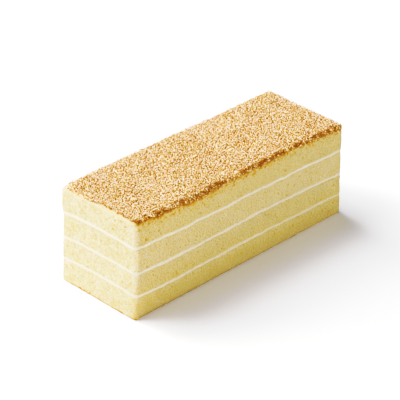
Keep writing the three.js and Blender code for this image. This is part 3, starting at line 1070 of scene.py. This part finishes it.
def underside(x, y):
    """The baked underside, flat where it rests and slightly pitted."""
    return np.clip(unevenness(in_space(x, y, 0 * x), UNDERSIDE_PITS), 0, None)


def crumb_bed(x, y):
    """The browned skin under the crumbs. It reaches their level at the bare corner."""
    places = in_space(x, y, 0 * x)
    bumps = unevenness(places, BED_BUMPS) + unevenness(places, BED_SMALL_BUMPS)
    drop = CRUMB_BED_DROP * (1 - bare_corner(x, y))
    return HEIGHT - drop + BED_BUMP_HEIGHT * bumps - droop(x, y)


# How far down the front the crumbs come: farthest left of the middle and at the right
FRONT_REACH = 3.3 * MM
FRONT_BULGE = 2.2 * MM
FRONT_BULGE_PLACE = (-38 * MM, 16 * MM)
FRONT_NOTCH = 1.3 * MM
FRONT_NOTCH_PLACE = (42 * MM, 8 * MM)
FRONT_LEFT_LOSS = 1.6 * MM
FRONT_LEFT_PLACE = (-68 * MM, -88 * MM)
FRONT_RIGHT_GAIN = 1.5 * MM
FRONT_RIGHT_PLACE = (62 * MM, 80 * MM)


def front_reach(x):
    """How far down the front the crumbs come at a place along it."""
    bulge = FRONT_BULGE * hump(x, *FRONT_BULGE_PLACE) - FRONT_NOTCH * hump(x, *FRONT_NOTCH_PLACE)
    left = FRONT_LEFT_LOSS * smoothstep(*FRONT_LEFT_PLACE, x)
    return FRONT_REACH + bulge - left + FRONT_RIGHT_GAIN * smoothstep(*FRONT_RIGHT_PLACE, x)


SKIN_WANDER = Wave(0.6 * MM, 9 * MM, 64)
SKIN_TEETH = Wave(1.3 * MM, 1.7 * MM, 63)
SKIN_LAP = 0.3 * MM  # how far the crumbs lap over the skin's lower edge
STAIN = 0.13  # how toasted the sponge is just under the skin on the front, partly painted shade
STAIN_SPECKS = Wave(1.0, 1.1 * MM, 84)
STAIN_SPECKS_FROM = 0.1
STAIN_DEPTH = 7 * MM
SKIN_BELOW = 1.7 * MM  # where the skin fades out and is full, below and above its lower edge
SKIN_ABOVE = 1.0 * MM
SKIN_TOAST = 0.9
LEFT_TOAST_LOSS = 0.6
FRONT_FADE = 3  # the power that ends the deep band soon round the front's corners


def skin_toast_and_shade(outline, places):
    """How brown the top sheet is: a band below the top that is deepest on the front, partly browned skin
    and partly painted shade on the shaded front.
    """
    front = np.clip(-outline.facing[:, 1], 0, 1) ** FRONT_FADE
    left = np.clip(-outline.facing[:, 0], 0, 1)
    depth = front * (front_reach(places[..., 0]) - SKIN_LAP)
    below = HEIGHT - places[..., 2] + (unevenness(places, SKIN_TEETH) + unevenness(places, SKIN_WANDER))
    specks = np.clip(unevenness(places, STAIN_SPECKS) - STAIN_SPECKS_FROM, 0, None)
    stain = (STAIN + specks) * front * smoothstep(depth + STAIN_DEPTH, depth, below)
    edge = (SKIN_TOAST - LEFT_TOAST_LOSS * left) * smoothstep(depth + SKIN_BELOW, depth - SKIN_ABOVE, below)
    return np.maximum(stain, edge)


def add_top_edge(piece, band, heights, outline, inside):
    """Rounds the top sheet's edge over to its browned skin."""
    counts = [outline.bounds[side + 1] - outline.bounds[side] - 2 * outline.ARC_STEPS for side in (0, 1)]
    inner = Outline(LENGTH / 2 - TOP_EDGE_RADIUS, WIDTH / 2 - TOP_EDGE_RADIUS, *counts)
    wall = outline.points - outline.facing * inside[:, None]
    rows = [band]
    tall = [heights]
    for step in range(1, ROUNDED_EDGE_STEPS + 1):
        turn = math.pi / 2 * step / ROUNDED_EDGE_STEPS
        flat = inner.points + (wall - inner.points) * math.cos(turn)
        rise = (TOP_EDGE_RADIUS - CRUMB_BED_DROP) * math.sin(turn)
        z = HEIGHT - TOP_EDGE_RADIUS + rise - droop(*flat.T)
        places = in_space(flat[:, 0] * (1 + 2 * TOP_OVERHANG / LENGTH), flat[:, 1], z)
        places[:, 2] += math.sin(turn) * unevenness(places, ROUNDED_EDGE_BUMPS)
        rows.append(piece.add_points(places, toast=skin_toast_and_shade(outline, places))[None])
        tall.append(heights[-1:] + TOP_EDGE_RADIUS * turn)
    return np.concatenate(rows), np.concatenate(tall)


# The cream layers

CREAM_ROWS = 7
CREAM_SETBACK = 0.06 * MM  # how far inside the sponge the cream's face lies
CREAM_ROUNDING = 0.14 * MM  # how much farther inside its two rims lie
RIM_POWER = 3  # the power that keeps this to the rims
CREAM_SMEARS = Wave(0.13 * MM, 4 * MM, 30)
CREAM_RIPPLES = Wave(0.07 * MM, 1.1 * MM, 40)
THIN_FROM = -0.1 * MM  # where smears and ripples begin to thin the cream and have thinned it
THIN_FULL = 0.25 * MM
END_THINNESS = 0.8
END_THINNESS_PATCHES = Wave(0.4, 7 * MM, 50)
RIM_THINNESS = 0.6
CREAM_MAP_STRETCH = 4  # how many times its own height the narrow band takes on the map


def cream_layer(number, sizes, material):
    """One thin layer of cream between two sheets, uneven where it was cut."""
    outline = side_outline(sizes)
    x, y = outline.points.T
    rise = np.linspace(0, 1, CREAM_ROWS)
    near_rim = np.abs(2 * rise[:, None] - 1) ** RIM_POWER
    lower = cut_edge(number, -1, x, y)
    upper = cut_edge(number, 1, x, y)
    z = lower + rise[:, None] * (upper - lower)
    places = in_space(x, y, z)
    smears = unevenness(places, CREAM_SMEARS, number)
    ripples = unevenness(places, CREAM_RIPPLES, number)
    inside = CREAM_SETBACK + CREAM_ROUNDING * near_rim + smears + ripples
    at_ends = END_THINNESS + unevenness(places, END_THINNESS_PATCHES, number)
    thin = smoothstep(THIN_FROM, THIN_FULL, smears + ripples) + at_ends * np.abs(outline.facing[:, 0])
    thin = np.clip(thin + RIM_THINNESS * near_rim, 0, 1)

    piece = Piece()
    band = piece.add_points(cut_points(outline, z, inside), thin=thin)
    heights = rise * CREAM_MAP_STRETCH * CREAM_THICKNESS
    corners, caps_from = map_corners(heights[-1])
    piece.add_band(band, outline, heights, corners)
    large, small = cap_layouts(caps_from)
    for side, row, layout in ((-1, 0, small), (1, -1, large)):
        rim = piece.add_points(piece.points[band[row]])
        piece.add_cap(rim, outline, SEAM_STEP, partial(cream_face, number, side), layout, side > 0)
    layer = piece.build(f"cream_spread_{number + 1}", material)
    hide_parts(f"cream_layer_{number + 1}")
    return layer


# The toasted crumbs

ABOUT_EQUAL = 1.01  # lengths up to this many times the least one are taken as equal to it


def icosahedron():
    """Corners and faces of a regular solid of 20 faces, of radius 1."""
    golden = (1 + math.sqrt(5)) / 2
    corners = []
    for a in (-1, 1):
        for b in (-golden, golden):
            corners += [(0, a, b), (a, b, 0), (b, 0, a)]
    corners = np.array(corners) / math.hypot(1, golden)
    gaps = np.linalg.norm(corners[:, None] - corners, axis=2)
    near = gaps < ABOUT_EQUAL * gaps[0, 1:].min()
    faces = []
    for i, j, k in combinations(range(len(corners)), 3):
        if near[i, j] and near[j, k] and near[i, k]:
            outward = np.linalg.det(corners[[i, j, k]]) > 0
            faces.append((i, j, k) if outward else (i, k, j))
    return corners, np.array(faces)


def turns(random, count, tilt):
    """Random turns about each crumb's own upright, after a small random tilt."""
    spin = random.uniform(0, 2 * math.pi, count)
    lean = random.normal(0, tilt, count)
    about = random.uniform(0, 2 * math.pi, count)
    matrices = []
    for a, b, c in zip(spin, lean, about):
        axis = Vector((math.cos(c), math.sin(c), 0))
        matrices.append(Matrix.Rotation(b, 3, axis) @ Matrix.Rotation(a, 3, "Z"))
    return np.array(matrices)


NEARLY_SIDEWAYS = 0.9  # a direction this far along X takes Y as its helper


def upright_frames(facing):
    """A frame for each direction whose third column is that direction."""
    helper = np.where(np.abs(facing[:, :1]) < NEARLY_SIDEWAYS, (1.0, 0.0, 0.0), (0.0, 1.0, 0.0))
    first = np.cross(helper, facing)
    first /= np.linalg.norm(first, axis=1, keepdims=True)
    second = np.cross(facing, first)
    return np.stack([first, second, facing], axis=-1)


CRUMB_UNEVENNESS = 0.28  # how much nearer or farther its corners may lie
CRUMB_STRETCH = ((0.85, 1.35), (0.65, 1.0), (0.6, 0.95))  # least and most, along, across and up
CRUMB_TILT = 0.45  # in radians
CRUMB_WARMTH = (-1.5, 2)  # least and most
CRUMB_WASH = 1.2
MOST_WASH = 2


def crumb_piece(name, spots, material, random):
    """Joins uneven crumbs into one piece. Each spot is a centre, a direction that it faces,
    a radius and a tone."""
    corners, faces = icosahedron()
    centres, facing, radii, tones = spots
    count = len(centres)
    uneven = 1 + random.uniform(-CRUMB_UNEVENNESS, CRUMB_UNEVENNESS, (count, len(corners), 1))
    stretch = np.stack([random.uniform(*ends, count) for ends in CRUMB_STRETCH], axis=-1)
    points = corners * uneven * stretch[:, None] * radii[:, None, None]
    frames = upright_frames(facing) @ turns(random, count, CRUMB_TILT)
    points = np.einsum("cij,ckj->cki", frames, points) + centres[:, None]
    points[..., 2] = np.clip(points[..., 2], 0, TOP_HIGH.z - CLEARANCE / 2)

    piece = Piece()
    warmth = random.normal(0, 1, (count, 1)).clip(*CRUMB_WARMTH)
    wash = CRUMB_WASH * random.normal(0, 1, (count, 1)).clip(-MOST_WASH, MOST_WASH)
    numbers = piece.add_points(points, tone=tones[:, None], warmth=warmth, wash=wash)
    piece.add_triangles(numbers[:, faces], crumb_places(count, len(faces)))
    return piece.build(name, material, smooth=False)


# Two triangles that share a square of the map, and the squares across and up in a crumb's cell
NEAR_TRIANGLE = np.array([(0.05, 0.02), (0.95, 0.02), (0.05, 0.9)])
FAR_TRIANGLE = np.array([(0.95, 0.1), (0.95, 0.98), (0.05, 0.98)])
SQUARES = np.array([5, 2])


def crumb_places(count, faces):
    """Gives each crumb a cell of the map, and each of its faces half a square in it."""
    cells = math.ceil(math.sqrt(count))
    pair = np.arange(faces) // 2
    square = np.stack([pair % SQUARES[0], pair // SQUARES[0]], axis=-1)
    is_near = (np.arange(faces) % 2 == 0)[:, None, None]
    inside = (square[:, None] + np.where(is_near, NEAR_TRIANGLE, FAR_TRIANGLE)) / SQUARES
    cell = np.stack([np.arange(count) % cells, np.arange(count) // cells], axis=-1)
    return (cell[:, None, None] + inside) / cells


COVER_EDGE_RADIUS = 1.3 * MM  # of the rounded edge that the crumbs make
COVER_INSET = 0.3 * MM  # how far inside the sheet's sides that edge lies
COVER_RIGHT_INSET = 0.9 * MM  # how much farther inside it lies at the right end


def over_edge(x, y):
    """Lays a point of an unrolled cover on the top and round its edge. Returns the place,
    the direction it faces and how far past the flat top it lies, less than 0 within it."""
    half_x = LENGTH / 2 + TOP_OVERHANG - COVER_INSET - COVER_EDGE_RADIUS
    half_y = WIDTH / 2 - COVER_INSET - COVER_EDGE_RADIUS
    right_x = half_x - COVER_RIGHT_INSET
    flat_x = np.clip(x, -half_x, right_x)
    flat_y = np.clip(y, -half_y, half_y)
    away_x = x - flat_x
    away_y = y - flat_y
    past = np.hypot(away_x, away_y)
    safe = np.where(past > 0, past, 1)
    way_x = away_x / safe
    way_y = away_y / safe
    turn = np.minimum(past / COVER_EDGE_RADIUS, math.pi / 2)
    wall = np.maximum(past - COVER_EDGE_RADIUS * math.pi / 2, 0)
    reach = COVER_EDGE_RADIUS * np.sin(turn)
    z = HEIGHT - COVER_EDGE_RADIUS * (1 - np.cos(turn)) - wall - droop(flat_x, flat_y)
    place = in_space(flat_x + way_x * reach, flat_y + way_y * reach, z)
    facing = in_space(way_x * np.sin(turn), way_y * np.sin(turn), np.cos(turn))
    within = np.minimum.reduce([x + half_x, right_x - x, half_y - np.abs(y)])
    return place, facing, np.where(past > 0, past, -within)


LIMIT_WANDER = Wave(0.9 * MM, 5 * MM, 91)
LIMIT_TEETH = Wave(0.8 * MM, 1.8 * MM, 92)
LIMIT = 1.8 * MM  # how far past the flat top the crumbs reach
LIMIT_LEFT_LOSS = 2.4 * MM  # how much less far at the front of the left end
LEFT_FRONT = (8 * MM, -5 * MM)
FRONT_LAP = 0.8 * MM  # how far the crumbs lap over the browned skin's own reach
FRONT_START = (3 * MM, 1.5 * MM)  # how far inside the front side the longer reach starts and is full
NEAR_CORNER_START = (-0.5 * MM, 3 * MM)


def crumb_limit(x, y):
    """How far past the flat top the crumbs reach, by side, with a ragged edge."""
    places = in_space(x, y, 0 * x)
    ragged = unevenness(places, LIMIT_WANDER) + unevenness(places, LIMIT_TEETH)
    reach = LIMIT - LIMIT_LEFT_LOSS * smoothstep(0, -LENGTH / 2, x) * smoothstep(*LEFT_FRONT, y)
    front = smoothstep(*FRONT_START, y + WIDTH / 2) * smoothstep(*NEAR_CORNER_START, x + LENGTH / 2)
    return reach + front * (front_reach(x) + FRONT_LAP - reach) + ragged


# The layers of crumbs on the top: a close lower one, a loose upper one and the lumps along
# the front edge. Each has its spacing as a multiple of the crumbs' own, its lift, how much
# larger its crumbs are, how far past the flat top it starts and goes on, and how pale it is.
# The lower layer and the lumps are browner partly as painted shade, in the gaps under the
# loose layer and along the shaded front.
CrumbLayer = namedtuple("CrumbLayer", "spacing lift growth past_from past_to pale")
CRUMB_LAYERS = (
    CrumbLayer(1.0, -0.58 * MM, 1.0, -LENGTH, 0.0, 0.0),
    CrumbLayer(1.4, 0.1 * MM, 1.0, -LENGTH, -0.5 * MM, 1.0),
    CrumbLayer(1.6, -0.15 * MM, 1.4, 0.7 * MM, -0.6 * MM, 0.0),
)
SCATTER_MARGIN = 4 * MM  # how far past the sides the unrolled cover goes
LUMPS = Wave(1.0, 3 * MM, 93)
LUMPS_FROM = -0.35  # noise above this is a lump
LUMPS_DEPTH = 1.5 * MM  # how far inside the front side the lumps go
BARE_REACH = 4.0 * MM  # how far from the bare corner the crumbs begin
BARE_SCATTER = 1.5 * MM
SMALL_CRUMBS = 1.6  # the power that makes more crumbs small than large
LOOSE_RISE = 0.22 * MM  # how much higher a crumb of the loose layer may lie


def scatter_crumbs(sizes, random):
    """Spots of the crumbs on the top, and how pale the layer of each one is."""
    reach_x = LENGTH / 2 + SCATTER_MARGIN
    reach_y = WIDTH / 2 + SCATTER_MARGIN
    small, large = sizes.crumb_radius
    spots = []
    for layer in CRUMB_LAYERS:
        spacing = layer.spacing * sizes.crumb_pitch
        x, y = np.meshgrid(np.arange(-reach_x, reach_x, spacing), np.arange(-reach_y, reach_y, spacing))
        x = (x + spacing * random.uniform(-0.5, 0.5, x.shape)).ravel()
        y = (y + spacing * random.uniform(-0.5, 0.5, y.shape)).ravel()
        place, facing, past = over_edge(x, y)
        kept = (past >= layer.past_from) & (past < crumb_limit(x, y) + layer.past_to)
        if layer.past_from > 0:
            kept &= (y < LUMPS_DEPTH - WIDTH / 2) & (unevenness(place, LUMPS) > LUMPS_FROM)
        corner_gap = np.hypot(x + LENGTH / 2, y - WIDTH / 2)
        kept &= corner_gap > BARE_REACH + BARE_SCATTER * random.random(len(x))
        radii = layer.growth * (small + (large - small) * random.random(len(x)) ** SMALL_CRUMBS)
        lift = layer.lift + LOOSE_RISE * random.random(len(x)) * layer.pale
        pale = np.full(len(x), layer.pale)
        spots.append([part[kept] for part in (place + facing * lift[:, None], facing, radii, pale)])
    return [np.concatenate(parts) for parts in zip(*spots)]


# How toasted the crumbs are, from 0 pale to 1 brown: on the top, along the front edge and at
# the near corner. The lower layer's and the front edge's browner tones are partly painted
# shade. The clumps and patches of browner crumbs are noise from -1 to 1.
TONE_PATCHES = Wave(1.0, 16 * MM, 95)
TONE_CLUMPS = Wave(1.0, 2.2 * MM, 96)
TOP_TONE = 0.62
LOOSE_LAYER_LOSS = 0.49
TOP_PATCHES = 0.07
TOP_CLUMPS = 0.13
TONE_SPREAD = 0.16
FRONT_TONE = 0.95
FRONT_LOOSE_LOSS = 0.2
FRONT_CLUMPS = 0.65
FRONT_TONE_SPREAD = 0.29
CORNER_TONE = 0.3
FRONT_EDGE_WANDER = Wave(1.5 * MM, 3.5 * MM, 97)
FRONT_EDGE_REACH = (3.3 * MM, -0.4 * MM)  # where crumbs begin to be as those of the edge and are
CORNER_MIDDLE = 2.5 * MM  # how far right of the left end the near corner's brown clump lies
CORNER_REACH = (4.5 * MM, 2 * MM)


def crumb_toast_and_shade(centres, pale, random):
    """How toasted each crumb is, partly painted shade: those of the lower layer, in the gaps, and those
    along the shaded front are browner.
    """
    clumps = unevenness(centres, TONE_CLUMPS)
    edge = centres[:, 1] + WIDTH / 2 + unevenness(centres, FRONT_EDGE_WANDER)
    corner_gap = np.hypot(centres[:, 0] + LENGTH / 2 - CORNER_MIDDLE, centres[:, 1] + WIDTH / 2)
    at_corner = smoothstep(*CORNER_REACH, corner_gap)
    front = np.maximum(smoothstep(*FRONT_EDGE_REACH, edge), at_corner)
    on_top = TOP_TONE - LOOSE_LAYER_LOSS * pale + TOP_CLUMPS * clumps
    on_top = on_top + TOP_PATCHES * unevenness(centres, TONE_PATCHES)
    at_front = FRONT_TONE - FRONT_LOOSE_LOSS * pale + FRONT_CLUMPS * clumps + CORNER_TONE * at_corner
    tone = on_top + (at_front - on_top) * front
    spread = TONE_SPREAD + (FRONT_TONE_SPREAD - TONE_SPREAD) * front
    return np.clip(tone + spread * random.normal(0, 1, len(centres)), 0, 1)


# The kinds of crumb: the tones above the lowest and up to the highest, and how they shine
CrumbKind = namedtuple("CrumbKind", "name lowest highest sheen")
CRUMB_KINDS = (
    CrumbKind("pale", -0.01, 0.32, 0.45),
    CrumbKind("golden", 0.32, 0.6, 0.3),
    CrumbKind("brown", 0.6, 1.0, 0.1),
)


CRUMB_SEED = 7


def top_crumbs(sizes, colours):
    """The crumbs over the top, one piece for each kind, from pale to brown."""
    random = np.random.default_rng(CRUMB_SEED)
    centres, facing, radii, pale = scatter_crumbs(sizes, random)
    tones = crumb_toast_and_shade(centres, pale, random)
    for kind in CRUMB_KINDS:
        chosen = (tones > kind.lowest) & (tones <= kind.highest)
        material = crumb_material(f"Crumbs {kind.name}", kind.sheen, colours)
        spots = [part[chosen] for part in (centres, facing, radii, tones)]
        piece = crumb_piece(f"crumbs_{kind.name}", spots, material, random)
        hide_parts("sponge_layer_4")


# The stage

VIEW_AZIMUTH = math.radians(-45.577)
VIEW_ELEVATION = math.radians(30.177)
VIEW_ROLL = math.radians(0.781)
VIEW_DISTANCE = 1201.9 * MM
AIM_RIGHT = -3.653 * MM
AIM_UP = -0.824 * MM
AIM_HEIGHT = 33.1 * MM
SENSOR = 36.0
FOCAL_OVER_SENSOR = 4.853


def place_camera():
    """Places the camera at the photo's view, looking at the cake's middle."""
    back = Vector((
        math.sin(VIEW_AZIMUTH) * math.cos(VIEW_ELEVATION),
        -math.cos(VIEW_AZIMUTH) * math.cos(VIEW_ELEVATION),
        math.sin(VIEW_ELEVATION),
    ))
    right = Vector((math.cos(VIEW_AZIMUTH), math.sin(VIEW_AZIMUTH), 0))
    up = back.cross(right)
    aim = Vector((0, 0, AIM_HEIGHT)) + AIM_RIGHT * right + AIM_UP * up
    rolled_right = right * math.cos(VIEW_ROLL) + up * math.sin(VIEW_ROLL)
    rolled_up = up * math.cos(VIEW_ROLL) - right * math.sin(VIEW_ROLL)
    data = bpy.data.cameras.new("camera")
    data.sensor_width = SENSOR
    data.lens = SENSOR * FOCAL_OVER_SENSOR
    camera = bpy.data.objects.new("camera", data)
    turn = Matrix((rolled_right, rolled_up, back)).transposed().to_4x4()
    camera.matrix_world = Matrix.Translation(aim + back * VIEW_DISTANCE) @ turn
    bpy.context.scene.collection.objects.link(camera)
    bpy.context.scene.camera = camera


SoftLight = namedtuple("SoftLight", "name position size power")
LIGHTS = (
    SoftLight("key light", (-0.26, 0.672, 0.686), 1.1, 53.5),
    SoftLight("left fill", (-2.1, -2.0, 0.4), 0.7, 119.0),
)
WORLD_LIGHT = 0.18
FLOOR_HALF = 3.0
FLOOR_SHADES = (0.9, 1.15)  # what the floor gives back to the cake, and how bright it looks


def add_soft_light(light):
    """A square white light that faces the cake."""
    data = bpy.data.lights.new(light.name, "AREA")
    data.shape = "SQUARE"
    data.size = light.size
    data.energy = light.power
    lamp = bpy.data.objects.new(light.name, data)
    lamp.location = light.position
    lamp.rotation_euler = (-Vector(light.position)).to_track_quat("-Z", "Y").to_euler()
    bpy.context.scene.collection.objects.link(lamp)


def add_world():
    """Even white light from all round."""
    world = bpy.data.worlds.new("studio")
    world.use_nodes = True
    background = world.node_tree.nodes["Background"]
    background.inputs["Color"].default_value = (1, 1, 1, 1)
    background.inputs["Strength"].default_value = WORLD_LIGHT
    bpy.context.scene.world = world


def add_floor():
    """A white floor that looks brighter than the light that it gives back to the cake."""
    mesh = bpy.data.meshes.new("floor")
    corners = [(FLOOR_HALF * x, FLOOR_HALF * y, 0) for x, y in ((-1, -1), (1, -1), (1, 1), (-1, 1))]
    mesh.from_pydata(corners, [], [(0, 1, 2, 3)])
    material = bpy.data.materials.new("White floor")
    material.use_nodes = True
    nodes = Nodes(material.node_tree)
    nodes.tree.nodes.remove(nodes.tree.nodes["Principled BSDF"])
    seen = nodes.add("ShaderNodeLightPath").outputs["Is Camera Ray"]
    shader = nodes.add("ShaderNodeBsdfDiffuse", {"Color": nodes.between(seen, *FLOOR_SHADES)})
    nodes.join(shader.outputs["BSDF"], nodes.tree.nodes["Material Output"].inputs["Surface"])
    mesh.materials.append(material)
    floor = bpy.data.objects.new("floor", mesh)
    bpy.context.scene.collection.objects.link(floor)


# How the camera turns light into picture values: light in, value out. Its blue filter
# first holds back weak blue light, which makes the darker tones warmer.
WHITE_LIGHT = 2.5
BLUE_CURVE = 2
WHOLE_CURVE = 3
RESPONSE = ((0.3, 0.23), (0.6, 0.46), (0.8, 0.575), (1.1, 0.725), (1.5, 0.84), (2.0, 0.912))
BLUE_FILTER = ((0.15, 0.06), (0.3, 0.23), (0.45, 0.43), (0.6, 0.64), (0.8, 0.86), (1.2, 1.27), (2.0, 2.05))


def set_response():
    """Sets the camera's response, which rolls off gently to white."""
    view = bpy.context.scene.view_settings
    view.view_transform = "Standard"
    view.use_curve_mapping = True
    mapping = view.curve_mapping
    mapping.white_level = (WHITE_LIGHT, WHITE_LIGHT, WHITE_LIGHT)
    for light_in, value_out in RESPONSE:
        mapping.curves[WHOLE_CURVE].points.new(light_in / WHITE_LIGHT, value_out)
    for light_in, light_out in BLUE_FILTER:
        mapping.curves[BLUE_CURVE].points.new(light_in / WHITE_LIGHT, light_out / WHITE_LIGHT)
    mapping.update()


# The add-on's operators, panel and entries


class CAKE_OT_sponge(bpy.types.Operator):
    """Builds the four sheets of sponge"""

    bl_idname = "cake.sponge"
    bl_label = "Sponge sheets"

    def execute(self, context):
        material = sponge_material(context.scene.cake_colours)
        for number in range(len(CREAM_LINES) + 1):
            sponge_sheet(number, context.scene.cake_sizes, material)
        return {"FINISHED"}


class CAKE_OT_cream(bpy.types.Operator):
    """Builds the three layers of cream"""

    bl_idname = "cake.cream"
    bl_label = "Cream layers"

    def execute(self, context):
        material = cream_material(context.scene.cake_colours)
        for number in range(len(CREAM_LINES)):
            cream_layer(number, context.scene.cake_sizes, material)
        return {"FINISHED"}


class CAKE_OT_crumbs(bpy.types.Operator):
    """Scatters the toasted crumbs over the top"""

    bl_idname = "cake.crumbs"
    bl_label = "Toasted crumbs"

    def execute(self, context):
        top_crumbs(context.scene.cake_sizes, context.scene.cake_colours)
        return {"FINISHED"}


class CAKE_OT_stage(bpy.types.Operator):
    """Sets the floor, the lights, the camera and its response"""

    bl_idname = "cake.stage"
    bl_label = "Floor, lights and camera"

    def execute(self, context):
        add_floor()
        for light in LIGHTS:
            add_soft_light(light)
        add_world()
        place_camera()
        set_response()
        return {"FINISHED"}


class CAKE_PT_panel(bpy.types.Panel):
    """Sizes, colours and steps of the cake"""

    bl_idname = "CAKE_PT_panel"
    bl_label = "Layer sponge cake"
    bl_space_type = "VIEW_3D"
    bl_region_type = "UI"
    bl_category = "Cake"

    def draw(self, context):
        layout = self.layout
        for settings in (context.scene.cake_sizes, context.scene.cake_colours):
            for name in settings.__annotations__:
                layout.prop(settings, name)
        for step in STEPS:
            layout.operator(step.bl_idname)


STEPS = (CAKE_OT_sponge, CAKE_OT_cream, CAKE_OT_crumbs, CAKE_OT_stage)
CLASSES = (CakeSizes, CakeColours, *STEPS, CAKE_PT_panel)


def register():
    for item in CLASSES:
        bpy.utils.register_class(item)
    bpy.types.Scene.cake_sizes = bpy.props.PointerProperty(type=CakeSizes)
    bpy.types.Scene.cake_colours = bpy.props.PointerProperty(type=CakeColours)


def unregister():
    del bpy.types.Scene.cake_colours
    del bpy.types.Scene.cake_sizes
    for item in reversed(CLASSES):
        bpy.utils.unregister_class(item)


def main():
    register()
    bpy.ops.cake.sponge()
    bpy.ops.cake.cream()
    bpy.ops.cake.crumbs()
    bpy.ops.cake.stage()


if __name__ == "__main__":
    main()
